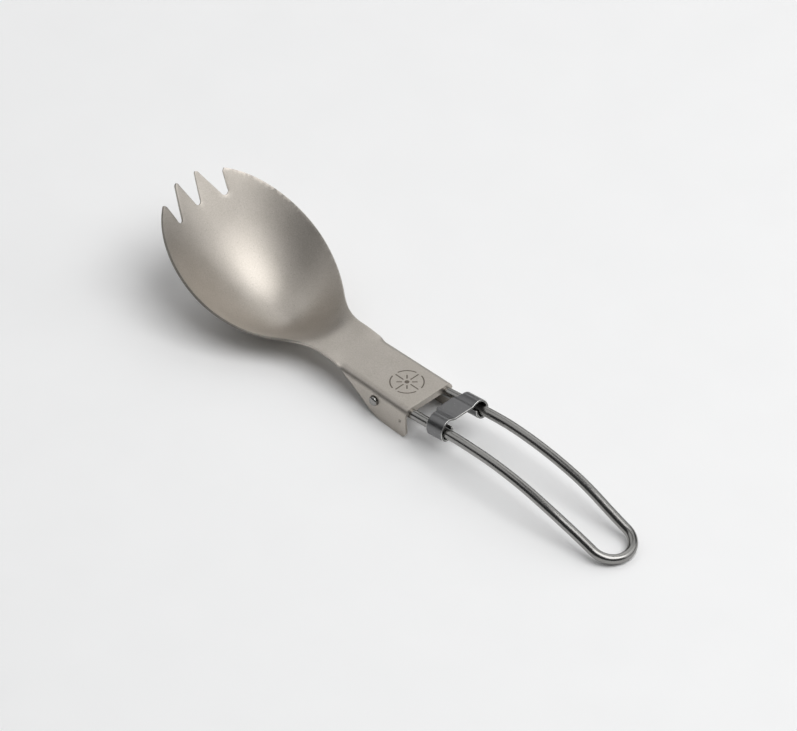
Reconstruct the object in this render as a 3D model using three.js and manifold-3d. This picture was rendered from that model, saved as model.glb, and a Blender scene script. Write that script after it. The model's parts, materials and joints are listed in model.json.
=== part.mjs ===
// Folding camping spork: a stamped bowl with four tines, a bent-wire handle
// that folds under it, and a sliding clip that locks the handle open.
// Millimetres. The working frame has its origin on the plate's top face, at
// the middle of the channel's rear edge: +X to the handle's end, +Z up.
import * as THREE from "three";
import { mergeVertices } from "three/addons/utils/BufferGeometryUtils.js";
import Module from "manifold-3d";

const wasm = await Module();
wasm.setup();

// Stock
const HEAD_SHEET = 0.6;
const WIRE_R = 1.25;
const CLIP_SHEET = 0.5;

// Bowl, seen from above: half an ellipse in front, then a curve to the neck,
// which laps the channel's flat top and tapers there to stay off its bends
const BOWL_WIDEST_X = -60.5;
const BOWL_HALF_WIDTH = 19.54;
const BOWL_FRONT = 22.9;
const SHOULDER = { x: -40.9, y: 12, slope: -0.77 };
const NECK = { x: -30, y: 7.2, lap: 1.5, lapTaper: 1.2 };

// Bowl, seen from the side, to the middle of the sheet
const PLATE_MID_Z = -HEAD_SHEET / 2;
const FLOOR_X = -49;
const FLOOR_Z = -7.07;
const FRONT_WALL_RUN = 25;
const FRONT_WALL_SLOPE = 1.17;
const FLOOR_START_X = -31;
const RIM_START_X = -38.8;
const RIM_SLOPE = 0.535;
const RIM_EASE = 10;
const NECK_EDGE = { startX: -22.8, endX: -29, lift: 0.5 };

// Tine slots: the root and the mouth of each, on the front wall,
// with the slope of its two sides and how far out their tine tips begin
const SLOT_ROOT_R = 1;
const TIP_ROUNDING = 0.7;
const TIP_FLARE = { x: 2.5, y: 0.6 };
const MIDDLE_SLOT = {
  root: [-78.75, 0, 13.3],
  mouth: [-83.3, 0, 18.7],
  inner: { draft: 0.3, tip: 6.4 },
  outer: { draft: 0.3, tip: 6.4 },
};
const SIDE_SLOT = {
  root: [-77.3, 7.55, 12.9],
  mouth: [-81.6, 6.5, 17.9],
  inner: { draft: 0.2, tip: 8.1 },
  outer: { draft: 0.4, tip: 4.1 },
};

// Channel: the plate's rear half with a flange bent down on each side
const CHANNEL_LENGTH = 22.5;
const CHANNEL_FRONT_HALF = 7.5;
const CHANNEL_REAR_HALF = 7.9;
const BEND_R = 1.8;
const FLANGE_DEPTH = 8.55;
const FLANGE_LEAN = 0.35;
const FLANGE_CORNER_R = 1.8;
const DETENT = { x: -1.9, z: -4.3, r: 0.75, depth: 0.28 };

// Pivot and wire handle
const PIVOT = { x: -10.5, z: -3.19 };
const PIVOT_CLEARANCE = 0.15;
const PIN_END_Y = 8.75;
const PIN_BEND_R = 1.6;
const HANDLE_START = THREE.MathUtils.degToRad(6.8);
const HANDLE_END = THREE.MathUtils.degToRad(-17.9);
const ARCH_START_X = 12.5;
const ARCH_END_X = 51.5;
const LOOP_CENTRE_X = 61.4;
const LEG_PIVOT_Y = 5.43;
const LEG_GRIP_Y = 6.25;
const GRIP_START_X = 21;
const GRIP_END_X = 44;
const LOOP_R = 5.7;

// Locking clip, in its own frame: X along the wires, Z up from their middle.
// The tab is high enough to slide over the plate's rear edge.
const CLIP_X = 9.9;
const CLIP_LOOP_HALF = 2.6;
const CLIP_TAB = { reach: 1.35, half: 3.1, rootHalf: 4.6, corner: 0.6, draft: 0.3 };
const CLIP_FLAT_HALF = 3;
const CLIP_FLAT_Z = 2.45;
const CLIP_LOOP = [
  [4.1, 2.85],
  [5.15, 3.05],
  [6.4, 2.55],
  [7.35, 1.45],
  [7.7, 0],
  [7.2, -1.55],
  [6, -2.1],
  [4.8, -1.6],
  [4.15, -0.3],
  [4.2, 0.7],
];

// Lying on a table, the spork stands on its bowl, its flanges' lower corners
// and the handle's end
const LYING_TILT = THREE.MathUtils.degToRad(1.517);

// Longer than any cut has to reach
const BEYOND = 12;

const ALONG_X = new THREE.Matrix4().makeBasis(
  new THREE.Vector3(0, 1, 0),
  new THREE.Vector3(0, 0, 1),
  new THREE.Vector3(1, 0, 0),
);
const ACROSS = new THREE.Matrix4().makeBasis(
  new THREE.Vector3(1, 0, 0),
  new THREE.Vector3(0, 0, 1),
  new THREE.Vector3(0, -1, 0),
);

// A closed geometry as a manifold solid, ready to join or cut.
function solid(geometry) {
  const bare = geometry.clone();
  bare.deleteAttribute("normal");
  bare.deleteAttribute("uv");
  const merged = mergeVertices(bare, 1e-4);
  return new wasm.Manifold(
    new wasm.Mesh({
      numProp: 3,
      vertProperties: merged.attributes.position.array,
      triVerts: new Uint32Array(merged.index.array),
    }),
  );
}

function geometryOf(body) {
  const mesh = body.getMesh();
  const geometry = new THREE.BufferGeometry();
  geometry.setAttribute("position", new THREE.BufferAttribute(mesh.vertProperties, 3));
  geometry.setIndex(new THREE.BufferAttribute(mesh.triVerts, 1));
  return geometry;
}

function extruded(shape, depth, curveSegments = 8) {
  return new THREE.ExtrudeGeometry(shape, { depth, bevelEnabled: false, curveSegments });
}

function smooth(t) {
  return t * t * (3 - 2 * t);
}

// A cubic from one point and slope to another.
function hermite(x, x0, y0, m0, x1, y1, m1) {
  const h = x1 - x0;
  const t = (x - x0) / h;
  const start = (1 - smooth(t)) * y0 + t * (1 - t) ** 2 * h * m0;
  return start + smooth(t) * y1 + t * t * (t - 1) * h * m1;
}

// --- Head: bowl, neck and channel, one stamped sheet ---

function bowlHalfWidth(x) {
  if (x < BOWL_WIDEST_X) {
    return BOWL_HALF_WIDTH * Math.sqrt(1 - ((BOWL_WIDEST_X - x) / BOWL_FRONT) ** 2);
  }
  const { x: sx, y: sy, slope } = SHOULDER;
  if (x < sx) return hermite(x, BOWL_WIDEST_X, BOWL_HALF_WIDTH, 0, sx, sy, slope);
  if (x < NECK.x) return hermite(x, sx, sy, slope, NECK.x, NECK.y, 0);
  return NECK.y - NECK.lapTaper * Math.max(0, x + CHANNEL_LENGTH);
}

function floorHeight(x) {
  if (x < FLOOR_X) {
    const run = FLOOR_X - x;
    const curved = Math.min(run, FRONT_WALL_RUN);
    const climb = (FRONT_WALL_SLOPE * curved ** 2) / (2 * FRONT_WALL_RUN);
    return FLOOR_Z + climb + FRONT_WALL_SLOPE * (run - curved);
  }
  if (x < FLOOR_START_X) {
    return hermite(x, FLOOR_X, FLOOR_Z, 0, FLOOR_START_X, PLATE_MID_Z, 0);
  }
  return PLATE_MID_Z;
}

function rimHeight(x) {
  const run = Math.max(0, RIM_START_X - x);
  const { startX, endX, lift } = NECK_EDGE;
  const lifted = lift * THREE.MathUtils.smoothstep(-x, -startX, -endX);
  return PLATE_MID_Z + lifted + RIM_SLOPE * (run - RIM_EASE * (1 - Math.exp(-run / RIM_EASE)));
}

// The middle of the sheet; u runs from -1 on the near rim to 1 on the far rim.
function bowlPoint(x, u) {
  const rise = 1 - Math.cos((u * Math.PI) / 2);
  const z = THREE.MathUtils.lerp(floorHeight(x), rimHeight(x), rise);
  return new THREE.Vector3(x, u * bowlHalfWidth(x), z);
}

function bowlNormal(x, u) {
  const step = 1e-3;
  const alongX = bowlPoint(x + step, u).sub(bowlPoint(x - step, u));
  const alongU = bowlPoint(x, u + step).sub(bowlPoint(x, u - step));
  return alongX.cross(alongU).normalize();
}

// A closed skin of the given thickness around the bowl's middle surface.
function bowlGeometry() {
  const frontRows = 14;
  const rearRows = 19;
  const columns = 20;
  const stations = [];
  for (let i = 0; i < frontRows; i++) {
    const angle = THREE.MathUtils.degToRad(88.5) * (1 - i / frontRows);
    stations.push(BOWL_WIDEST_X - BOWL_FRONT * Math.sin(angle));
  }
  for (let i = 0; i <= rearRows; i++) {
    stations.push(THREE.MathUtils.lerp(BOWL_WIDEST_X, -CHANNEL_LENGTH, i / rearRows));
  }
  stations.push(NECK.lap - CHANNEL_LENGTH);
  const positions = [];
  for (const side of [0.5, -0.5]) {
    for (const x of stations) {
      for (let j = 0; j <= columns; j++) {
        const u = (2 * j) / columns - 1;
        const offset = bowlNormal(x, u).multiplyScalar(side * HEAD_SHEET);
        positions.push(...bowlPoint(x, u).add(offset).toArray());
      }
    }
  }
  const rows = stations.length;
  const at = (layer, i, j) => (layer * rows + i) * (columns + 1) + j;
  const index = [];
  const quad = (a, b, c, d) => index.push(a, b, c, a, c, d);
  for (let i = 0; i < rows - 1; i++) {
    for (let j = 0; j < columns; j++) {
      quad(at(0, i, j), at(0, i + 1, j), at(0, i + 1, j + 1), at(0, i, j + 1));
      quad(at(1, i, j), at(1, i, j + 1), at(1, i + 1, j + 1), at(1, i + 1, j));
    }
    quad(at(0, i, 0), at(1, i, 0), at(1, i + 1, 0), at(0, i + 1, 0));
    quad(at(0, i, columns), at(0, i + 1, columns), at(1, i + 1, columns), at(1, i, columns));
  }
  for (let j = 0; j < columns; j++) {
    const last = rows - 1;
    quad(at(0, 0, j), at(0, 0, j + 1), at(1, 0, j + 1), at(1, 0, j));
    quad(at(0, last, j), at(1, last, j), at(1, last, j + 1), at(0, last, j + 1));
  }
  const geometry = new THREE.BufferGeometry();
  geometry.setAttribute("position", new THREE.Float32BufferAttribute(positions, 3));
  geometry.setIndex(index);
  return geometry;
}

// A V-shaped punch with a round root, standing square to the front wall.
// Each of its sides turns outwards at the mouth, which rounds a tine's tip.
function slotPunch(slot, side) {
  const mirror = new THREE.Vector3(1, side, 1);
  const root = new THREE.Vector3(...slot.root).multiply(mirror);
  const along = new THREE.Vector3(...slot.mouth).multiply(mirror).sub(root).normalize();
  const across = new THREE.Vector3(0, 1, 0).addScaledVector(along, -along.y).normalize();
  const through = across.clone().cross(along);
  const { inner, outer } = slot;
  const [left, right] = side > 0 ? [inner, outer] : [outer, inner];
  const shape = new THREE.Shape();
  const r = SLOT_ROOT_R;
  const edge = ({ draft, tip }) => {
    const startY = tip - TIP_ROUNDING / 2;
    const startX = r + draft * startY;
    const turnX = startX + (draft * TIP_ROUNDING) / 2;
    return { startX, startY, turnX, turnY: tip, endX: turnX + TIP_ROUNDING, endY: tip + 0.35 };
  };
  const a = edge(right);
  const b = edge(left);
  shape.moveTo(-r, 0);
  shape.absarc(0, 0, r, Math.PI, 2 * Math.PI, false);
  shape.lineTo(a.startX, a.startY);
  shape.quadraticCurveTo(a.turnX, a.turnY, a.endX, a.endY);
  shape.lineTo(a.endX + TIP_FLARE.x, a.endY + TIP_FLARE.y);
  shape.lineTo(a.endX + TIP_FLARE.x, BEYOND);
  shape.lineTo(-b.endX - TIP_FLARE.x, BEYOND);
  shape.lineTo(-b.endX - TIP_FLARE.x, b.endY + TIP_FLARE.y);
  shape.lineTo(-b.endX, b.endY);
  shape.quadraticCurveTo(-b.turnX, b.turnY, -b.startX, b.startY);
  const place = new THREE.Matrix4().makeBasis(across, along, through);
  place.setPosition(root.addScaledVector(through, -BEYOND / 2));
  return extruded(shape, BEYOND).applyMatrix4(place);
}

// The channel's section: a flat top, two round bends and two flanges.
function channelSection() {
  const half = CHANNEL_FRONT_HALF;
  const bottom = -FLANGE_DEPTH - 1;
  const inner = half - HEAD_SHEET;
  const innerR = BEND_R - HEAD_SHEET;
  const shape = new THREE.Shape();
  shape.moveTo(half, bottom);
  shape.absarc(half - BEND_R, -BEND_R, BEND_R, 0, Math.PI / 2, false);
  shape.absarc(-half + BEND_R, -BEND_R, BEND_R, Math.PI / 2, Math.PI, false);
  shape.lineTo(-half, bottom);
  shape.lineTo(-inner, bottom);
  shape.absarc(-half + BEND_R, -BEND_R, innerR, Math.PI, Math.PI / 2, true);
  shape.absarc(half - BEND_R, -BEND_R, innerR, Math.PI / 2, 0, true);
  shape.lineTo(inner, bottom);
  return shape;
}

// The flange, seen from the side: it sweeps down behind the neck, past the
// pivot, to a rounded rear corner.
function flangeOutline() {
  const front = -CHANNEL_LENGTH;
  const shape = new THREE.Shape();
  const cornerX = FLANGE_LEAN - FLANGE_CORNER_R;
  const cornerZ = -FLANGE_DEPTH + FLANGE_CORNER_R;
  shape.moveTo(front, 1);
  shape.lineTo(front, -1);
  shape.bezierCurveTo(-19.5, -1.9, -16.2, -3.9, -13.4, -6.1);
  shape.bezierCurveTo(-11.3, -7.75, -8, -FLANGE_DEPTH, -4.4, -FLANGE_DEPTH);
  shape.absarc(cornerX, cornerZ, FLANGE_CORNER_R, -Math.PI / 2, 0, false);
  shape.lineTo(0, -BEND_R);
  shape.lineTo(0, 1);
  return shape;
}

function channelSolid() {
  const length = CHANNEL_LENGTH + 1;
  const channel = extruded(channelSection(), length).applyMatrix4(ALONG_X);
  channel.translate(-CHANNEL_LENGTH, 0, 0);
  const spread = (CHANNEL_REAR_HALF - CHANNEL_FRONT_HALF) / CHANNEL_LENGTH;
  const points = channel.attributes.position;
  for (let i = 0; i < points.count; i++) {
    const growth = spread * (points.getX(i) + CHANNEL_LENGTH);
    points.setY(i, points.getY(i) + Math.sign(points.getY(i)) * growth);
  }
  const outline = extruded(flangeOutline(), 2 * BEYOND).applyMatrix4(ACROSS).translate(0, BEYOND, 0);
  const hole = new THREE.CylinderGeometry(1, 1, 2 * BEYOND, 32);
  hole.scale(WIRE_R + PIVOT_CLEARANCE, 1, WIRE_R + PIVOT_CLEARANCE);
  hole.translate(PIVOT.x, 0, PIVOT.z);
  let body = solid(channel).intersect(solid(outline)).subtract(solid(hole));
  const faceY = CHANNEL_REAR_HALF + spread * DETENT.x;
  for (const side of [-1, 1]) {
    const dimple = new THREE.SphereGeometry(DETENT.r, 16, 10);
    const out = faceY + DETENT.r - DETENT.depth;
    dimple.translate(DETENT.x, side * out, DETENT.z);
    body = body.subtract(solid(dimple));
  }
  return body;
}

function headGeometry() {
  let body = solid(bowlGeometry()).add(channelSolid());
  body = body.subtract(solid(slotPunch(MIDDLE_SLOT, 1)));
  for (const side of [-1, 1]) body = body.subtract(solid(slotPunch(SIDE_SLOT, side)));
  return geometryOf(body);
}

// --- Handle: one wire, bent to a long loop with its two ends turned out ---

const ARCH_R = (ARCH_END_X - ARCH_START_X) / (Math.sin(HANDLE_START) - Math.sin(HANDLE_END));
const ARCH_START_Z = PIVOT.z + Math.tan(HANDLE_START) * (ARCH_START_X - PIVOT.x);

// The handle's middle line, seen from the side: its height and slope at x.
function handleLine(x) {
  if (x < ARCH_START_X) {
    const z = PIVOT.z + Math.tan(HANDLE_START) * (x - PIVOT.x);
    return { z, angle: HANDLE_START };
  }
  const inArch = Math.min(x, ARCH_END_X);
  const angle = Math.asin(Math.sin(HANDLE_START) - (inArch - ARCH_START_X) / ARCH_R);
  const z = ARCH_START_Z + ARCH_R * (Math.cos(angle) - Math.cos(HANDLE_START));
  return { z: z + Math.tan(HANDLE_END) * (x - inArch), angle };
}

// How far each leg stands from the middle.
function legSpread(x) {
  if (x < GRIP_START_X) {
    return THREE.MathUtils.mapLinear(x, PIVOT.x, GRIP_START_X, LEG_PIVOT_Y, LEG_GRIP_Y);
  }
  if (x < GRIP_END_X) return LEG_GRIP_Y;
  const t = (x - GRIP_END_X) / (LOOP_CENTRE_X - GRIP_END_X);
  return THREE.MathUtils.lerp(LEG_GRIP_Y, LOOP_R, smooth(t));
}

// A curve that an extrusion steps through one given point at a time.
class StationCurve extends THREE.CatmullRomCurve3 {
  getPointAt(u, target) {
    return this.getPoint(u, target);
  }
  getTangentAt(u, target) {
    return this.getTangent(u, target);
  }
}

// One leg from its pin to the start of the end loop, on the +Y side.
function legStations() {
  const points = [new THREE.Vector3(PIVOT.x, PIN_END_Y, PIVOT.z)];
  const bendSteps = 6;
  const bendY = legSpread(PIVOT.x + PIN_BEND_R);
  for (let i = 0; i <= bendSteps; i++) {
    const turn = ((Math.PI / 2) * i) / bendSteps;
    const run = PIN_BEND_R * (1 - Math.sin(Math.PI / 2 - turn));
    const y = bendY + PIN_BEND_R * (1 - Math.sin(turn));
    const x = PIVOT.x + run * Math.cos(HANDLE_START);
    points.push(new THREE.Vector3(x, y, PIVOT.z + run * Math.sin(HANDLE_START)));
  }
  for (let x = -7; x < LOOP_CENTRE_X - 1.5; x += 2.4) {
    points.push(new THREE.Vector3(x, legSpread(x), handleLine(x).z));
  }
  return points;
}

function handleGeometry() {
  const leg = legStations();
  const centre = handleLine(LOOP_CENTRE_X);
  const loop = [];
  const loopSteps = 12;
  for (let i = 0; i <= loopSteps; i++) {
    const turn = Math.PI * (i / loopSteps);
    const run = LOOP_R * Math.sin(turn);
    loop.push(
      new THREE.Vector3(
        LOOP_CENTRE_X + run * Math.cos(centre.angle),
        LOOP_R * Math.cos(turn),
        centre.z + run * Math.sin(centre.angle),
      ),
    );
  }
  const back = leg.map((p) => new THREE.Vector3(p.x, -p.y, p.z)).reverse();
  const stations = [...leg, ...loop, ...back];
  const section = new THREE.Shape().absarc(0, 0, WIRE_R, 0, 2 * Math.PI);
  return new THREE.ExtrudeGeometry(section, {
    steps: stations.length - 1,
    extrudePath: new StationCurve(stations),
    curveSegments: 7,
  });
}

// --- Locking clip: a bent sheet that hooks round both wires ---

// The middle of the clip's sheet, from its flat out to the end of one loop.
function clipLine() {
  const flatEnd = new THREE.Vector2(CLIP_FLAT_HALF, CLIP_FLAT_Z);
  const lead = new THREE.Vector2(CLIP_FLAT_HALF - 1, CLIP_FLAT_Z);
  const loop = CLIP_LOOP.map(([y, z]) => new THREE.Vector2(y, z));
  return new THREE.SplineCurve([lead, flatEnd, ...loop]).getPoints(44);
}

// The outline of a sheet bent along a line.
function sheetSection(line, thickness) {
  const edge = (side) =>
    line.map((p, i) => {
      const before = line[Math.max(i - 1, 0)];
      const after = line[Math.min(i + 1, line.length - 1)];
      const along = after.clone().sub(before).normalize();
      return new THREE.Vector2(-along.y, along.x).multiplyScalar((side * thickness) / 2).add(p);
    });
  return new THREE.Shape([...edge(-1), ...edge(1).reverse()]);
}

function clipGeometry() {
  const half = clipLine();
  const mirrored = half.map((p) => new THREE.Vector2(-p.x, p.y)).reverse();
  const section = sheetSection([...mirrored, ...half], CLIP_SHEET);
  const length = 2 * CLIP_LOOP_HALF + CLIP_TAB.reach;
  const sheet = extruded(section, length).applyMatrix4(ALONG_X);
  sheet.translate(-CLIP_LOOP_HALF - CLIP_TAB.reach, 0, 0);
  const front = -CLIP_LOOP_HALF;
  const tabFront = front - CLIP_TAB.reach;
  const { half: tabHalf, rootHalf, corner, draft } = CLIP_TAB;
  const outline = new THREE.Shape();
  outline.moveTo(CLIP_LOOP_HALF + 1, BEYOND);
  outline.lineTo(CLIP_LOOP_HALF + 1, -BEYOND);
  outline.lineTo(front, -BEYOND);
  outline.lineTo(front, -rootHalf);
  outline.lineTo(tabFront + corner, -tabHalf - draft);
  outline.quadraticCurveTo(tabFront, -tabHalf, tabFront, corner - tabHalf);
  outline.lineTo(tabFront, tabHalf - corner);
  outline.quadraticCurveTo(tabFront, tabHalf, tabFront + corner, tabHalf + draft);
  outline.lineTo(front, rootHalf);
  outline.lineTo(front, BEYOND);
  const trim = extruded(outline, BEYOND).translate(0, 0, -BEYOND / 2);
  return geometryOf(solid(sheet).intersect(solid(trim)));
}

// --- Assembly ---

function steel(color, roughness) {
  return new THREE.MeshStandardMaterial({ color, roughness, metalness: 1 });
}

const head = new THREE.Mesh(headGeometry(), steel(0xaca49a, 0.5));
head.name = "spork_head";

const handle = new THREE.Mesh(handleGeometry(), steel(0xb4b4b4, 0.18));
handle.name = "wire_handle";

const clip = new THREE.Mesh(clipGeometry(), steel(0x606060, 0.38));
clip.name = "lock_slider";
clip.position.set(CLIP_X, 0, handleLine(CLIP_X).z);
clip.rotation.y = -HANDLE_START;

const spork = new THREE.Group();
spork.add(head, handle, clip);
spork.rotation.y = -LYING_TILT;
spork.updateMatrixWorld(true);

// The part's own origin is under the middle of the whole spork.
const box = new THREE.Box3().setFromObject(spork, true);
spork.position.set(-(box.min.x + box.max.x) / 2, 0, -box.min.z);

const part = new THREE.Group();
part.add(spork);

export default part;
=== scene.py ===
import json
import math

import bmesh
import bpy
import numpy as np
from mathutils import Matrix, Vector
from mathutils.geometry import delaunay_2d_cdt


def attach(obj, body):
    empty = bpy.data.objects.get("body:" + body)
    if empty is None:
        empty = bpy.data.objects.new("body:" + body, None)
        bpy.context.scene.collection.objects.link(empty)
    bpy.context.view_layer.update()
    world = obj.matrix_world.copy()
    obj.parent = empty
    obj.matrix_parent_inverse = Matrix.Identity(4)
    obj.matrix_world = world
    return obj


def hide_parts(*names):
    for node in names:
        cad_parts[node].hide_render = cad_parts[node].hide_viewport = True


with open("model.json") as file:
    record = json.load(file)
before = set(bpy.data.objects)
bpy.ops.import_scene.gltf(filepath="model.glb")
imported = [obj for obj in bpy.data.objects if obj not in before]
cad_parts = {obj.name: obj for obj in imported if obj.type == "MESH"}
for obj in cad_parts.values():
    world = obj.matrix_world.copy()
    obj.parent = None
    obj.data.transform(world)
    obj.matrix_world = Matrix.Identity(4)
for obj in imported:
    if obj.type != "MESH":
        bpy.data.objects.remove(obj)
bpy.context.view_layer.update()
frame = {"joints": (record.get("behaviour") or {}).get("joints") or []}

# ---------------------------------------------------------------------------
# Head: bowl, neck and channel are one blank of 0.6 mm titanium sheet, punched
# with its tine slots, stamped to shape, bent down along both sides of the
# channel and bead-blasted. Everything else is hung on it.
# ---------------------------------------------------------------------------

HEAD_SHEET = 0.6
MID_Z = -HEAD_SHEET / 2
WIRE_R = 1.25

BOWL_WIDEST_X = -60.5
BOWL_HALF_WIDTH = 19.54
BOWL_FRONT = 22.9
SHOULDER_X = -40.9
SHOULDER_Y = 12
SHOULDER_SLOPE = -0.77
NECK_X = -30
NECK_Y = 7.2
NECK_EDGE_LIFT = 0.5

FLOOR_X = -49
FLOOR_Z = -7.07
FLOOR_START_X = -31
FRONT_WALL_RUN = 25
FRONT_WALL_SLOPE = 1.17
RIM_START_X = -38.8
RIM_SLOPE = 0.535
RIM_EASE = 10

CHANNEL_LENGTH = 22.5
CHANNEL_FRONT_HALF = 7.5
CHANNEL_REAR_HALF = 7.9
BEND_R = 1.8
FLANGE_DEPTH = 8.55
FLANGE_LEAN = 0.35
FLANGE_CORNER_R = 1.8
PIVOT = Vector((-10.5, 0, -3.19))
PIVOT_HOLE_R = 1.4
DETENT = Vector((-1.9, 0, -4.3))
DETENT_R = 0.75
DETENT_DEPTH = 0.5

HANDLE_START = math.radians(6.8)
joints = {joint["name"]: joint for joint in frame["joints"]}

# The working frame is in millimetres on the plate's top face, and the spork
# lies tilted in the row frame: on its bowl and on the end of its handle.
slide = joints["slider_slide"]["axis"]
lying_tilt = math.atan2(slide[2], slide[0]) - HANDLE_START
turned = Matrix.Rotation(-lying_tilt, 4, "Y") @ Matrix.Scale(0.001, 4)
pivot_in_row = Vector(joints["handle_fold"]["pos_m"])
to_row = Matrix.Translation(pivot_in_row - turned @ PIVOT) @ turned


def smooth(t):
    t = np.clip(t, 0, 1)
    return t * t * (3 - 2 * t)


def hermite(x, x0, y0, m0, x1, y1, m1):
    h = x1 - x0
    t = (x - x0) / h
    start = (1 - smooth(t)) * y0 + t * (1 - t) ** 2 * h * m0
    return start + smooth(t) * y1 + t * t * (t - 1) * h * m1


def bowl_half_width(x):
    """Half an ellipse in front, a shoulder behind it, then the straight neck."""
    run = np.clip((BOWL_WIDEST_X - x) / BOWL_FRONT, 0, 0.9995)
    front = BOWL_HALF_WIDTH * np.sqrt(1 - run**2)
    side = hermite(x, BOWL_WIDEST_X, BOWL_HALF_WIDTH, 0, SHOULDER_X, SHOULDER_Y, SHOULDER_SLOPE)
    shoulder = hermite(x, SHOULDER_X, SHOULDER_Y, SHOULDER_SLOPE, NECK_X, NECK_Y, 0)
    rear = np.where(x < SHOULDER_X, side, np.where(x < NECK_X, shoulder, NECK_Y))
    return np.where(x < BOWL_WIDEST_X, front, rear)


def floor_height(x):
    run = np.maximum(0, FLOOR_X - x)
    curved = np.minimum(run, FRONT_WALL_RUN)
    climb = FRONT_WALL_SLOPE * curved**2 / (2 * FRONT_WALL_RUN)
    front = FLOOR_Z + climb + FRONT_WALL_SLOPE * (run - curved)
    rear = hermite(x, FLOOR_X, FLOOR_Z, 0, FLOOR_START_X, MID_Z, 0)
    return np.where(x < FLOOR_X, front, np.where(x < FLOOR_START_X, rear, MID_Z))


def rim_height(x):
    run = np.maximum(0, RIM_START_X - x)
    lifted = NECK_EDGE_LIFT * smooth((-22.2 - x) / 6)
    return MID_Z + lifted + RIM_SLOPE * (run - RIM_EASE * (1 - np.exp(-run / RIM_EASE)))


def bowl_height(x, y):
    u = np.clip(y / bowl_half_width(x), -1, 1)
    rise = 1 - np.cos(u * math.pi / 2)
    return floor_height(x) + rise * (rim_height(x) - floor_height(x))


def channel_half(x):
    along = np.clip(x / CHANNEL_LENGTH + 1, 0, 1)
    return CHANNEL_FRONT_HALF + (CHANNEL_REAR_HALF - CHANNEL_FRONT_HALF) * along


BEND_MID_R = BEND_R - HEAD_SHEET / 2
BEND_LENGTH = BEND_MID_R * math.pi / 2


def head_surface(x, s):
    """The middle of the sheet at x, and at s along its section from the middle plane.
    The bends at the channel's sides fade out over the last of the neck."""
    side = np.sign(s)
    beyond = np.abs(s) - (channel_half(x) - BEND_R)
    bend = np.maximum(smooth((x + 24.4) / 2.9) * math.pi / 2, 1e-4)
    radius = BEND_LENGTH / bend
    angle = bend * np.clip(beyond / BEND_LENGTH, 0, 1)
    straight = np.maximum(0, beyond - BEND_LENGTH)
    y_bent = np.abs(s) - np.maximum(0, beyond) + radius * np.sin(angle) + straight * np.cos(bend)
    drop = radius * (1 - np.cos(angle)) + straight * np.sin(bend)
    y = np.where(beyond > 0, side * y_bent, s)
    z = bowl_height(x, s) - np.where(beyond > 0, drop, 0)
    away = np.hypot(x - DETENT.x, z - DETENT.z) / DETENT_R
    pressed = DETENT_DEPTH * (1 - smooth(away)) * (beyond > BEND_LENGTH)
    return np.stack([x, y - side * pressed, z], axis=-1)


def arc(cx, cy, r, start, end, steps):
    angles = np.radians(np.linspace(start, end, steps + 1))
    return [(cx + r * math.cos(a), cy + r * math.sin(a)) for a in angles]


def bezier(p0, p1, p2, p3, steps):
    t = np.linspace(0, 1, steps + 1)[:, None]
    p0, p1, p2, p3 = (np.array(p, float) for p in (p0, p1, p2, p3))
    curve = (1 - t) ** 3 * p0 + 3 * t * (1 - t) ** 2 * p1 + 3 * t * t * (1 - t) * p2 + t**3 * p3
    return [tuple(p) for p in curve]


def section_length(x, z):
    """How far along the section a point at height z on a flange or its bend is."""
    on_bend = BEND_MID_R * np.arccos(np.clip((z + BEND_R) / BEND_MID_R, 0, 1))
    return float(channel_half(x) - BEND_R + on_bend + max(0, -BEND_R - z))


def side_outline():
    """The blank's edge on the +Y side, from the front of the bowl to the rear corner."""
    turns = np.linspace(89, 0, 70)
    edge = [(BOWL_WIDEST_X - BOWL_FRONT * math.sin(math.radians(a)), 0) for a in turns]
    edge += [(x, 0) for x in np.linspace(BOWL_WIDEST_X, -CHANNEL_LENGTH, 80)[1:]]
    edge = [(x, float(bowl_half_width(x))) for x, _ in edge]
    corner_z = FLANGE_CORNER_R - FLANGE_DEPTH
    flange = bezier((-22.5, -1), (-19.5, -1.9), (-16.2, -3.9), (-13.4, -6.1), 22)[1:]
    flange += bezier((-13.4, -6.1), (-11.3, -7.75), (-8, -FLANGE_DEPTH), (-4.4, -FLANGE_DEPTH), 20)[1:]
    flange += arc(FLANGE_LEAN - FLANGE_CORNER_R, corner_z, FLANGE_CORNER_R, -90, 0, 12)
    upright = -BEND_R - corner_z
    flange += [(FLANGE_LEAN * (1 - t), corner_z + t * upright) for t in np.linspace(0, 1, 13)[1:]]
    edge += [(x, section_length(x, z)) for x, z in flange]
    return edge


def on_bowl(place, a, l):
    """Where the bowl's middle surface meets the line that stands at (a, l) in a punch's frame."""
    across, along, root = place
    guess = np.array(root[:2], float)
    for _ in range(12):
        def miss(p):
            there = np.array([p[0], p[1], float(bowl_height(p[0], p[1]))]) - root
            return np.array([there @ across - a, there @ along - l])
        here = miss(guess)
        step = 1e-4
        slope = np.column_stack([(miss(guess + d) - here) / step for d in np.eye(2) * step])
        guess = guess - np.linalg.solve(slope, here)
    return float(guess[0]), float(guess[1])


SLOT_ROOT_R = 1
TIP_ROUNDING = 0.7
TIP_RISE = 0.35
SLOT_FLARE = 2.2
FRONT_BEYOND_X = -95


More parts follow.
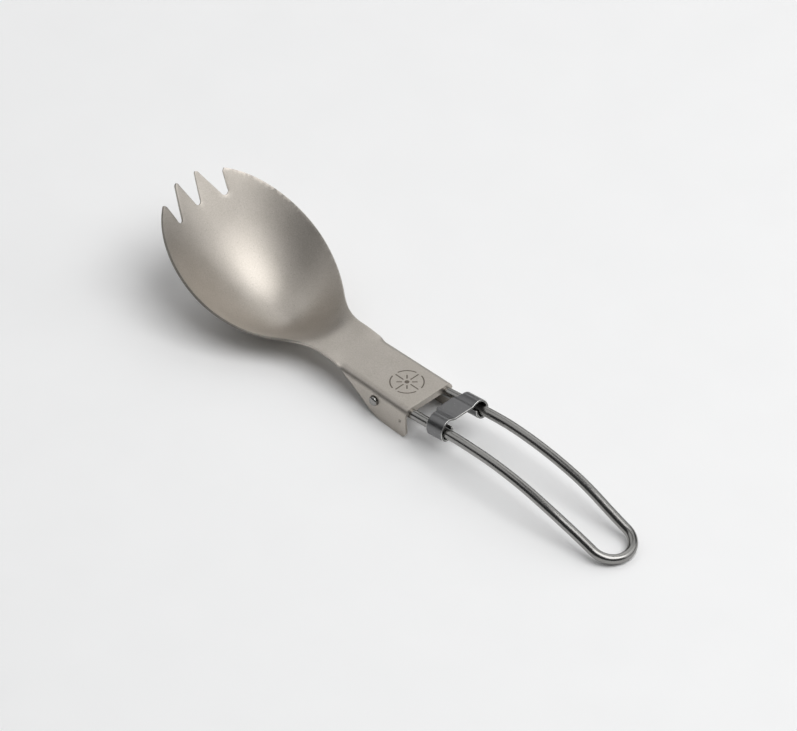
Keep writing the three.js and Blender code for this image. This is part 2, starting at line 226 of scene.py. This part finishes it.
def slot_outline(root, mouth, right, left):
    """A V-shaped slot with a round root. Each side is (draft, where its tine's tip begins)."""
    root = np.array(root, float)
    along = np.array(mouth, float) - root
    along /= np.linalg.norm(along)
    across = np.array([0, 1, 0]) - along[1] * along
    across /= np.linalg.norm(across)

    def half(draft, tip):
        start_l = tip - TIP_ROUNDING / 2
        start = np.array([SLOT_ROOT_R + draft * start_l, start_l])
        turn = np.array([start[0] + draft * TIP_ROUNDING / 2, tip])
        end = turn + (TIP_ROUNDING, TIP_RISE)
        straight = [start * t + (1 - t) * np.array([SLOT_ROOT_R, 0]) for t in np.linspace(0, 1, 16)]
        t = np.linspace(0, 1, 9)[1:, None]
        tip_curve = list((1 - t) ** 2 * start + 2 * t * (1 - t) * turn + t * t * end)
        return straight + tip_curve

    right_side = half(*right)
    left_side = [p * (-1, 1) for p in half(*left)]
    bottom = arc(0, 0, SLOT_ROOT_R, 180, 360, 16)[1:-1]
    points = left_side[::-1] + bottom + right_side
    place = (across, along, root)
    outline = [on_bowl(place, *p) for p in points]
    first, last = outline[0], outline[-1]
    left_flare = (first[0] - 0.5, first[1] - SLOT_FLARE)
    right_flare = (last[0] - 0.5, last[1] + SLOT_FLARE)
    outline += [right_flare, (FRONT_BEYOND_X, right_flare[1]), (FRONT_BEYOND_X, left_flare[1]), left_flare]
    return outline


def ring(cx, cy, r, steps):
    return arc(cx, cy, r, 0, 360 * (1 - 1 / steps), steps - 1)


def lattice(x0, x1, y0, y1, spacing, keep):
    """Points of an even triangular grid, kept where keep(x, y) says so."""
    rows = np.arange(y0, y1, spacing * math.sqrt(3) / 2)
    points = []
    for i, y in enumerate(rows):
        points += [(x, y) for x in np.arange(x0 + spacing * (i % 2) / 2, x1, spacing)]
    points = np.array(points)
    return points[keep(points[:, 0], points[:, 1])]


def sheet_faces(outline, holes, marks, loose):
    """Triangles that fill outline but no hole. Those inside a mark come with index 1."""
    loops = [outline, *holes, *marks]
    loops = [loop if signed_area(loop) > 0 else loop[::-1] for loop in loops]
    edge_points = np.array([p for loop in loops for p in loop])
    clear = []
    for p, gap in loose:
        if np.min(np.hypot(*(edge_points - p).T)) > gap:
            clear.append(p)
    points = [Vector(p) for p in edge_points] + [Vector(p) for p in clear]
    faces, start = [], 0
    for loop in loops:
        faces.append(list(range(start, start + len(loop))))
        start += len(loop)
    made = delaunay_2d_cdt(points, [], faces, 0, 1e-4)
    flat, triangles, sources = made[0], made[2], made[5]
    inside = range(1, 1 + len(holes))
    marked = range(1 + len(holes), len(loops))
    kept = []
    for triangle, source in zip(triangles, sources):
        if 0 in source and not any(i in source for i in inside):
            kept.append((triangle, int(any(i in source for i in marked))))
    return np.array([tuple(p) for p in flat]), kept


def signed_area(loop):
    points = np.array(loop)
    after = np.roll(points, -1, axis=0)
    return 0.5 * np.sum(points[:, 0] * after[:, 1] - after[:, 0] * points[:, 1])


# A sheet's material slots: the first two are its near face's plain and marked metal.
FAR_FACE_SLOT = 2
CUT_EDGE_SLOT = 4
CORNER_SLOT = 6


def sheet_piece(name, flat, kept, surface, placed, thickness, bevel):
    """A bent sheet: its middle surface, given a thickness and softly rounded edges."""
    positions = surface(flat[:, 0], flat[:, 1])
    mesh = bpy.data.meshes.new(name)
    bm = bmesh.new()
    verts = [bm.verts.new(placed @ Vector(p)) for p in positions]
    for triangle, mark in kept:
        face = bm.faces.new([verts[i] for i in triangle])
        face.material_index = mark
        face.smooth = True
    bmesh.ops.delete(bm, geom=[v for v in bm.verts if not v.link_faces], context="VERTS")
    bm.to_mesh(mesh)
    bm.free()
    piece = bpy.data.objects.new(name, mesh)
    bpy.context.scene.collection.objects.link(piece)
    solidify = piece.modifiers.new("sheet", "SOLIDIFY")
    solidify.thickness = thickness * 0.001
    solidify.offset = 0
    solidify.use_even_offset = True
    solidify.use_quality_normals = True
    solidify.material_offset = FAR_FACE_SLOT
    solidify.material_offset_rim = CUT_EDGE_SLOT
    edges = piece.modifiers.new("tumbled_edges", "BEVEL")
    edges.width = bevel * 0.001
    edges.segments = 3
    edges.limit_method = "ANGLE"
    edges.material = CORNER_SLOT
    edges.angle_limit = math.radians(50)
    weighted = piece.modifiers.new("normals", "WEIGHTED_NORMAL")
    weighted.weight = 60
    return piece


half_outline = side_outline()
blank = half_outline + [(x, -y) for x, y in half_outline[::-1]]
slots = [
    slot_outline((-78.75, 0, 13.3), (-83.3, 0, 18.7), (0.3, 6.4), (0.3, 6.4)),
    slot_outline((-77.3, 7.55, 12.9), (-81.6, 6.5, 17.9), (0.4, 4.1), (0.2, 8.1)),
    slot_outline((-77.3, -7.55, 12.9), (-81.6, -6.5, 17.9), (0.2, 8.1), (0.4, 4.1)),
]
hole_s = section_length(PIVOT.x, PIVOT.z)
pivot_holes = [ring(PIVOT.x, side * hole_s, PIVOT_HOLE_R, 36) for side in (-1, 1)]

# A generic mark: a compass rose of plain spokes in a broken ring, laser-etched on the plate.
MARK_X = -7.2
MARK_R = 4.1
MARK_LINE = 0.34


def stroke(points, width):
    """The outline of a line drawn through points, with square ends."""
    points = [Vector(p) for p in points]
    offsets = []
    for i, p in enumerate(points):
        before = points[max(i - 1, 0)]
        after = points[min(i + 1, len(points) - 1)]
        along = (after - before).normalized()
        offsets.append(Vector((-along.y, along.x)) * width / 2)
    left = [tuple(p + o) for p, o in zip(points, offsets)]
    right = [tuple(p - o) for p, o in zip(points, offsets)]
    return left + right[::-1]


mark = [ring(MARK_X, 0, 0.6, 16)]
for quarter in range(4):
    mark.append(stroke(arc(MARK_X, 0, MARK_R, quarter * 90 + 12, quarter * 90 + 78, 16), MARK_LINE))
    for spoke, reach in ((0, 0.95), (45, 0.62)):
        angle = math.radians(quarter * 90 + spoke)
        out = Vector((math.cos(angle), math.sin(angle)))
        start = Vector((MARK_X, 0)) + out * 1.2
        mark.append(stroke([start, Vector((MARK_X, 0)) + out * MARK_R * reach], MARK_LINE))

bowl_grid = lattice(-84, -23, -20, 20, 0.85, lambda x, s: np.abs(s) < bowl_half_width(x))
neck_grid = lattice(-25, 0, -15.2, 15.2, 0.42, lambda x, s: np.abs(s) < 15.2)
bowl_grid = bowl_grid[bowl_grid[:, 0] < -25.2]
loose = [(p, 0.4) for p in bowl_grid] + [(p, 0.22) for p in neck_grid]
detent_s = section_length(DETENT.x, DETENT.z)


def from_detent(p):
    """How far a point of the flat blank is from the nearer detent."""
    return math.hypot(p[0] - DETENT.x, abs(p[1]) - detent_s)


loose = [(p, gap) for p, gap in loose if from_detent(p) > 1.15]
for side in (-1, 1):
    loose.append(((DETENT.x, side * detent_s), 0.05))
    for r in (0.16, 0.32, 0.48, 0.64, 0.8, 0.95, 1.1):
        loose += [(p, 0.05) for p in ring(DETENT.x, side * detent_s, r, int(8 + 14 * r))]

flat, kept = sheet_faces(blank, slots + pivot_holes, mark, loose)
head = sheet_piece("titanium_head", flat, kept, head_surface, to_row, HEAD_SHEET, 0.16)


def linear(hex_colour):
    """An sRGB hex colour as linear RGBA."""
    channels = [int(hex_colour[i:i + 2], 16) / 255 for i in (1, 3, 5)]
    return [c / 12.92 if c <= 0.04045 else ((c + 0.055) / 1.055) ** 2.4 for c in channels] + [1]


def add_node(material, kind, settings=None, **inputs):
    """Adds a node with its settings. An input is a value, or (node, output name) to link."""
    tree = material.node_tree
    made = tree.nodes.new(kind)
    for key, value in (settings or {}).items():
        setattr(made, key, value)
    for key, value in inputs.items():
        socket = made.inputs[int(key[1:]) if key[0] == "i" and key[1:].isdigit() else key.replace("_", " ")]
        if isinstance(value, tuple) and isinstance(value[0], bpy.types.Node):
            tree.links.new(value[0].outputs[value[1]], socket)
        else:
            socket.default_value = value
    return made


def new_material(name):
    made = bpy.data.materials.new(name)
    made.use_nodes = True
    made.node_tree.nodes.clear()
    return made


def per_metre(millimetres):
    """A noise scale that gives features of this size."""
    return 1000 / millimetres


NOISE_SPAN = (0.3, 0.7)


def spread(material, value, span, low, high):
    """Maps a value's span to the numbers from low to high, and stops there."""
    return add_node(material, "ShaderNodeMapRange", Value=value, From_Min=span[0], From_Max=span[1],
                    To_Min=low, To_Max=high)


def tones(material, value, dark, pale):
    """A colour that goes from dark to pale over the span that a noise mostly keeps to."""
    ramp = add_node(material, "ShaderNodeValToRGB", Fac=value)
    for element, position, colour in zip(ramp.color_ramp.elements, NOISE_SPAN, (dark, pale)):
        element.position = position
        element.color = linear(colour)
    return ramp


def bead_blasted_titanium(name, pale, dark, roughness):
    # Bead-blasted titanium: glass beads leave dents of about 0.1 mm, so the warm grey metal is
    # matt and scatters light evenly. They are drawn 0.3 mm wide, to show. Soft clouds 6 mm
    # across and scattered pinprick stains vary the grey a little.
    made = new_material(name)
    place = add_node(made, "ShaderNodeTexCoord")
    dents = add_node(made, "ShaderNodeTexNoise", Vector=(place, "Object"), Scale=per_metre(0.3),
                     Detail=3.0, Roughness=0.6)
    clouds = add_node(made, "ShaderNodeTexNoise", Vector=(place, "Object"), Scale=per_metre(6),
                      Detail=2.0, Roughness=0.5)
    both = add_node(made, "ShaderNodeMix", {"data_type": "FLOAT"}, Factor=0.25,
                    i2=(dents, "Fac"), i3=(clouds, "Fac"))
    tone = tones(made, (both, "Result"), dark, pale)
    stains = add_node(made, "ShaderNodeTexVoronoi", Vector=(place, "Object"), Scale=per_metre(1.1))
    stained = spread(made, (stains, "Distance"), (0.05, 0.16), 0.8, 1.0)
    spotted = add_node(made, "ShaderNodeVectorMath", {"operation": "SCALE"}, i0=(tone, "Color"),
                       Scale=(stained, "Result"))
    rough = spread(made, (both, "Result"), NOISE_SPAN, roughness - 0.04, roughness + 0.04)
    bump = add_node(made, "ShaderNodeBump", Height=(dents, "Fac"), Strength=0.35, Distance=0.00004)
    metal = add_node(made, "ShaderNodeBsdfPrincipled", Metallic=1.0, Base_Color=(spotted, "Vector"),
                     Roughness=(rough, "Result"), Normal=(bump, "Normal"))
    add_node(made, "ShaderNodeOutputMaterial", Surface=(metal, "BSDF"))
    return made


blasted = bead_blasted_titanium("bead_blasted_titanium", "#c5bfb8", "#aea89f", 0.47)
# The laser leaves a thin brown oxide, darker and duller than the blasted metal round it.
etched = bead_blasted_titanium("laser_etched_titanium", "#817a72", "#746d65", 0.62)
# Tumbling rubs the blank's sharp edges round, so they are smoother than the faces; their lighter grey is a
# painted highlight along the edges.
tumbled_edge_painted_highlight = bead_blasted_titanium("tumbled_titanium_edge_painted_highlight", "#d8d3cb", "#ccc7be", 0.34)
for material in (blasted, etched, blasted, blasted, blasted, blasted, tumbled_edge_painted_highlight):
    head.data.materials.append(material)
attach(head, "head")
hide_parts("spork_head")

# ---------------------------------------------------------------------------
# Handle: one length of 2.5 mm drawn stainless wire, bent to a long
# arched loop, with its ends turned out through the flange holes and domed
# over, so that they are the pivot that the handle folds on.
# ---------------------------------------------------------------------------

PIN_END_Y = 8.75
PIN_DOME = 0.55
PIN_BEND_R = 1.6
HANDLE_END = math.radians(-17.9)
ARCH_START_X = 12.5
ARCH_END_X = 51.5
LOOP_CENTRE_X = 61.4
LEG_PIVOT_Y = 5.43
LEG_GRIP_Y = 6.25
GRIP_START_X = 21
GRIP_END_X = 44
LOOP_R = 5.7
ARCH_R = (ARCH_END_X - ARCH_START_X) / (math.sin(HANDLE_START) - math.sin(HANDLE_END))


def handle_line(x):
    """The height and slope of the wire's middle at x, seen from the side."""
    straight = min(x, ARCH_START_X)
    z = PIVOT.z + math.tan(HANDLE_START) * (straight - PIVOT.x)
    in_arch = min(max(x, ARCH_START_X), ARCH_END_X)
    angle = math.asin(math.sin(HANDLE_START) - (in_arch - ARCH_START_X) / ARCH_R)
    z += ARCH_R * (math.cos(angle) - math.cos(HANDLE_START))
    return z + math.tan(HANDLE_END) * max(0, x - ARCH_END_X), angle


def leg_spread(x):
    taper = min((x - PIVOT.x) / (GRIP_START_X - PIVOT.x), 1)
    leg = LEG_PIVOT_Y + taper * (LEG_GRIP_Y - LEG_PIVOT_Y)
    end = float(smooth((x - GRIP_END_X) / (LOOP_CENTRE_X - GRIP_END_X)))
    return leg + end * (LOOP_R - LEG_GRIP_Y)


def wire_path():
    """Points along the wire's middle, from one pin's end to the other's, each with its radius."""
    leg = []
    for turn in np.radians(np.linspace(0, 90, 9)):
        y = PIN_END_Y - PIN_DOME * (1 - math.cos(turn))
        leg.append((Vector((PIVOT.x, y, PIVOT.z)), max(WIRE_R * math.sin(turn), 0.02)))
    bend_y = leg_spread(PIVOT.x + PIN_BEND_R) + PIN_BEND_R
    for y in np.linspace(PIN_END_Y - PIN_DOME, bend_y, 6)[1:-1]:
        leg.append((Vector((PIVOT.x, y, PIVOT.z)), WIRE_R))
    for turn in np.radians(np.linspace(0, 90, 17)):
        run = PIN_BEND_R * (1 - math.cos(turn))
        x = PIVOT.x + run * math.cos(HANDLE_START)
        z = PIVOT.z + run * math.sin(HANDLE_START)
        leg.append((Vector((x, bend_y - PIN_BEND_R * math.sin(turn), z)), WIRE_R))
    for x in np.arange(-8.3, LOOP_CENTRE_X - 0.3, 0.6):
        leg.append((Vector((x, leg_spread(x), handle_line(x)[0])), WIRE_R))
    centre_z, slope = handle_line(LOOP_CENTRE_X)
    loop = []
    for turn in np.radians(np.linspace(0, 180, 49)):
        run = LOOP_R * math.sin(turn)
        x = LOOP_CENTRE_X + run * math.cos(slope)
        z = centre_z + run * math.sin(slope)
        loop.append((Vector((x, LOOP_R * math.cos(turn), z)), WIRE_R))
    back = [(Vector((p.x, -p.y, p.z)), r) for p, r in leg]
    return leg + loop + back[::-1]


def swept_wire(name, path, sides):
    """A round wire along a path, closed at both ends."""
    bm = bmesh.new()
    rings = []
    normal = Vector((0, 0, 1))
    for i, (point, radius) in enumerate(path):
        before = path[max(i - 1, 0)][0]
        after = path[min(i + 1, len(path) - 1)][0]
        along = (after - before).normalized()
        normal = (normal - along * normal.dot(along)).normalized()
        side = along.cross(normal)
        turns = np.linspace(0, 2 * math.pi, sides, endpoint=False)
        rings.append([
            bm.verts.new(to_row @ (point + radius * (normal * math.cos(a) + side * math.sin(a))))
            for a in turns
        ])
    for one, two in zip(rings, rings[1:]):
        for j in range(sides):
            k = (j + 1) % sides
            bm.faces.new((one[j], one[k], two[k], two[j])).smooth = True
    bm.faces.new(rings[0][::-1]).smooth = True
    bm.faces.new(rings[-1]).smooth = True
    bmesh.ops.recalc_face_normals(bm, faces=bm.faces)
    mesh = bpy.data.meshes.new(name)
    bm.to_mesh(mesh)
    bm.free()
    piece = bpy.data.objects.new(name, mesh)
    bpy.context.scene.collection.objects.link(piece)
    return piece


wire = swept_wire("steel_wire_handle", wire_path(), 40)

# Drawn stainless wire: cool grey with a satin gloss, and hair-fine draw lines that run along it.
# They are drawn 0.25 mm wide, to show.
drawn_steel = new_material("drawn_stainless")
place = add_node(drawn_steel, "ShaderNodeTexCoord")
stretch = add_node(drawn_steel, "ShaderNodeMapping", Vector=(place, "Object"), Scale=(0.01, 1, 1))
lines = add_node(drawn_steel, "ShaderNodeTexNoise", Vector=(stretch, "Vector"), Scale=per_metre(0.25),
                 Detail=3.0, Roughness=0.6)
hue = tones(drawn_steel, (lines, "Fac"), "#908f8d", "#9b9a97")
gloss = spread(drawn_steel, (lines, "Fac"), NOISE_SPAN, 0.235, 0.255)
draw_lines = add_node(drawn_steel, "ShaderNodeBump", Height=(lines, "Fac"), Strength=0.02, Distance=0.00001)
metal = add_node(drawn_steel, "ShaderNodeBsdfPrincipled", Metallic=1.0, Base_Color=(hue, "Color"),
                 Roughness=(gloss, "Result"), Normal=(draw_lines, "Normal"))
add_node(drawn_steel, "ShaderNodeOutputMaterial", Surface=(metal, "BSDF"))
wire.data.materials.append(drawn_steel)
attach(wire, "handle")
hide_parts("wire_handle")

# ---------------------------------------------------------------------------
# Slider: 0.5 mm dark satin stainless, pressed to a joggled flat with a tab in
# front, and rolled into a loose loop round each wire. It runs on the wires,
# and pushed forward its tab rides over the plate and locks the handle open.
# ---------------------------------------------------------------------------

CLIP_SHEET = 0.5
CLIP_X = 9.9
CLIP_HALF = 2.6
TAB_REACH = 1.35
TAB_HALF = 3.1
TAB_ROOT_HALF = 4.6
TAB_CORNER = 0.6
CLIP_CORNER = 0.45
CLIP_FLAT_HALF = 3
CLIP_FLAT_Z = 2.45
CLIP_LOOP = [
    (4.1, 2.85), (5.15, 3.05), (6.4, 2.55), (7.35, 1.45), (7.7, 0),
    (7.2, -1.55), (6, -2.1), (4.8, -1.6), (4.15, -0.3), (4.2, 0.7),
]


def catmull_rom(points, steps):
    """A smooth line through points."""
    points = np.array(points, float)
    padded = np.vstack([points[:1], points, points[-1:]])
    line = []
    for p0, p1, p2, p3 in zip(padded, padded[1:], padded[2:], padded[3:]):
        t = np.linspace(0, 1, steps, endpoint=False)[:, None]
        m1, m2 = (p2 - p0) / 2, (p3 - p1) / 2
        blend = (2 * t**3 - 3 * t**2 + 1) * p1 + (t**3 - 2 * t**2 + t) * m1
        line.append(blend + (3 * t**2 - 2 * t**3) * p2 + (t**3 - t**2) * m2)
    return np.vstack([*line, points[-1:]])


side_line = catmull_rom([(0, CLIP_FLAT_Z), (CLIP_FLAT_HALF - 1, CLIP_FLAT_Z),
                         (CLIP_FLAT_HALF, CLIP_FLAT_Z), *CLIP_LOOP], 24)
side_run = np.concatenate([[0], np.cumsum(np.hypot(*np.diff(side_line, axis=0).T))])
strip_end = side_run[-1]


def clip_surface(x, s):
    y = np.sign(s) * np.interp(np.abs(s), side_run, side_line[:, 0])
    z = np.interp(np.abs(s), side_run, side_line[:, 1])
    return np.stack([x, y, z], axis=-1)


def clip_blank():
    """The slider's flat blank: a strip with a round-cornered tab at the middle of its front."""
    front, tab = -CLIP_HALF, -CLIP_HALF - TAB_REACH
    end, c = strip_end, CLIP_CORNER
    corner = [
        *bezier((front, TAB_ROOT_HALF + 0.5), (front, TAB_ROOT_HALF), (front - 0.1, TAB_ROOT_HALF - 0.35),
                (tab + TAB_CORNER, TAB_HALF + 0.3), 8)[:-1],
        *bezier((tab + TAB_CORNER, TAB_HALF + 0.3), (tab + 0.25, TAB_HALF + 0.12), (tab, TAB_HALF - 0.2),
                (tab, TAB_HALF - TAB_CORNER), 8),
    ]
    loop_end = arc(CLIP_HALF - c, end - c, c, 0, 90, 5) + arc(front + c, end - c, c, 90, 180, 5)
    side = loop_end + corner
    whole = side + [(x, -y) for x, y in side[::-1]]
    spaced = []
    for p, q in zip(whole, whole[1:] + whole[:1]):
        steps = max(1, round(math.dist(p, q) / 0.3))
        spaced += [(p[0] + (q[0] - p[0]) * i / steps, p[1] + (q[1] - p[1]) * i / steps) for i in range(steps)]
    return spaced


clip_grid = lattice(-CLIP_HALF - TAB_REACH, CLIP_HALF, -strip_end, strip_end, 0.3,
                    lambda x, s: np.abs(s) < strip_end)
flat, kept = sheet_faces(clip_blank(), [], [], [(p, 0.16) for p in clip_grid])
clip_place = Matrix.Translation((CLIP_X, 0, handle_line(CLIP_X)[0])) @ Matrix.Rotation(-HANDLE_START, 4, "Y")
clip = sheet_piece("steel_slider", flat, kept, clip_surface, to_row @ clip_place, CLIP_SHEET, 0.1)

# Satin stainless, tumbled and darkened: an even grey sheen, with pinprick scratches and bright
# specks about 0.2 mm across where the barrel's stones struck it.
satin = new_material("dark_tumbled_stainless")
place = add_node(satin, "ShaderNodeTexCoord")
grain = add_node(satin, "ShaderNodeTexNoise", Vector=(place, "Object"), Scale=per_metre(0.35),
                 Detail=4.0, Roughness=0.65)
specks = add_node(satin, "ShaderNodeTexVoronoi", Vector=(place, "Object"), Scale=per_metre(0.9))
struck = spread(satin, (specks, "Distance"), (0.06, 0.14), 1.0, 0.0)
tone = tones(satin, (grain, "Fac"), "#747475", "#7f7f7f")
marked = add_node(satin, "ShaderNodeMix", {"data_type": "RGBA"}, i0=(struck, "Result"),
                  i6=(tone, "Color"), i7=linear("#a3a3a1"))
rubbed = spread(satin, (grain, "Fac"), NOISE_SPAN, 0.3, 0.38)
pits = add_node(satin, "ShaderNodeBump", Height=(grain, "Fac"), Strength=0.15, Distance=0.00003)
metal = add_node(satin, "ShaderNodeBsdfPrincipled", Metallic=1.0, Base_Color=(marked, "Result"),
                 Roughness=(rubbed, "Result"), Normal=(pits, "Normal"))
add_node(satin, "ShaderNodeOutputMaterial", Surface=(metal, "BSDF"))
# The strip's cut edge is sheared: duller than the faces, with a faint grain.
sheared = new_material("sheared_stainless_edge")
place = add_node(sheared, "ShaderNodeTexCoord")
shear = add_node(sheared, "ShaderNodeTexNoise", Vector=(place, "Object"), Scale=per_metre(0.3), Detail=2.0)
dull = tones(sheared, (shear, "Fac"), "#6c6c6b", "#7c7c7a")
metal = add_node(sheared, "ShaderNodeBsdfPrincipled", Metallic=1.0, Base_Color=(dull, "Color"), Roughness=0.4)
add_node(sheared, "ShaderNodeOutputMaterial", Surface=(metal, "BSDF"))
# The barrel polishes the strip's corners first, so they are smoother; their near-white colour is a painted
# highlight, fine bright lines along the corners.
polished_corner_painted_highlight = new_material("tumbled_stainless_corner_painted_highlight")
metal = add_node(polished_corner_painted_highlight, "ShaderNodeBsdfPrincipled", Metallic=1.0, Base_Color=linear("#e2e2df"),
                 Roughness=0.3)
add_node(polished_corner_painted_highlight, "ShaderNodeOutputMaterial", Surface=(metal, "BSDF"))
for material in (satin, satin, satin, satin, sheared, sheared, polished_corner_painted_highlight):
    clip.data.materials.append(material)
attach(clip, "slider")
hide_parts("lock_slider")

# ---------------------------------------------------------------------------
# Stage: a plain white floor that the spork lies on, four soft boxes round and
# above it, and the camera, a long way off with a long lens.
# ---------------------------------------------------------------------------

FLOOR_HALF = 4.0
bm = bmesh.new()
bmesh.ops.create_grid(bm, x_segments=2, y_segments=2, size=FLOOR_HALF)
floor_mesh = bpy.data.meshes.new("floor")
bm.to_mesh(floor_mesh)
bm.free()
floor = bpy.data.objects.new("floor", floor_mesh)
bpy.context.scene.collection.objects.link(floor)
paper = new_material("white_paper")
fibre = add_node(paper, "ShaderNodeTexNoise", Scale=per_metre(2.0))
shade = add_node(paper, "ShaderNodeValToRGB", Fac=(fibre, "Fac"))
shade.color_ramp.elements[0].color = linear("#f8f8f8")
shade.color_ramp.elements[1].color = linear("#fcfcfc")
matt = add_node(paper, "ShaderNodeBsdfPrincipled", Base_Color=(shade, "Color"), Roughness=0.9)
add_node(paper, "ShaderNodeOutputMaterial", Surface=(matt, "BSDF"))
floor.data.materials.append(paper)

world = bpy.data.worlds.new("studio")
world.use_nodes = True
world.node_tree.nodes["Background"].inputs["Color"].default_value = (0.9, 0.95, 1, 1)
world.node_tree.nodes["Background"].inputs["Strength"].default_value = 0.05
bpy.context.scene.world = world
bpy.context.scene.view_settings.view_transform = "Standard"


SOFT_BOX_SIDE = 1.0
SOFT_BOX_DISTANCE = 1.2
KEY_POWER = 10


def soft_box(name, azimuth, elevation, power):
    """A square soft box that looks down at the spork. Its azimuth is from +X towards +Y."""
    light = bpy.data.lights.new(name, "AREA")
    light.shape = "SQUARE"
    light.size = SOFT_BOX_SIDE
    light.energy = power
    lamp = bpy.data.objects.new(name, light)
    bpy.context.scene.collection.objects.link(lamp)
    turn, lift = math.radians(azimuth), math.radians(elevation)
    towards = Vector((math.cos(lift) * math.cos(turn), math.cos(lift) * math.sin(turn), math.sin(lift)))
    lamp.location = towards * SOFT_BOX_DISTANCE
    lamp.rotation_euler = towards.to_track_quat("Z", "Y").to_euler()


soft_box("overhead_key_soft_box", 10, 66, KEY_POWER)
soft_box("right_soft_box", 45, 35, KEY_POWER / 3)
soft_box("far_side_soft_box", 120, 40, KEY_POWER / 3)
soft_box("bowl_end_soft_box", 200, 50, KEY_POWER / 4)

LENS_DISTANCE = 7500
VIEW_WIDTH = 190.67
AIM = Vector((-10.09, 0, 3.4))
back = Vector((0.5365, -0.531, 0.656)).normalized()
right = Vector((0, 0, 1)).cross(back).normalized()
up = back.cross(right)
camera_data = bpy.data.cameras.new("camera")
camera_data.sensor_width = 36
camera_data.lens = camera_data.sensor_width * LENS_DISTANCE / VIEW_WIDTH
camera_data.clip_start = 0.1
camera_data.clip_end = 30
camera = bpy.data.objects.new("camera", camera_data)
bpy.context.scene.collection.objects.link(camera)
turn = Matrix((right, up, back)).transposed()
row_turn = Matrix.Rotation(-lying_tilt, 3, "Y")
camera.matrix_world = Matrix.Translation(to_row @ (AIM + back * LENS_DISTANCE)) @ (row_turn @ turn).to_4x4()
bpy.context.scene.camera = camera
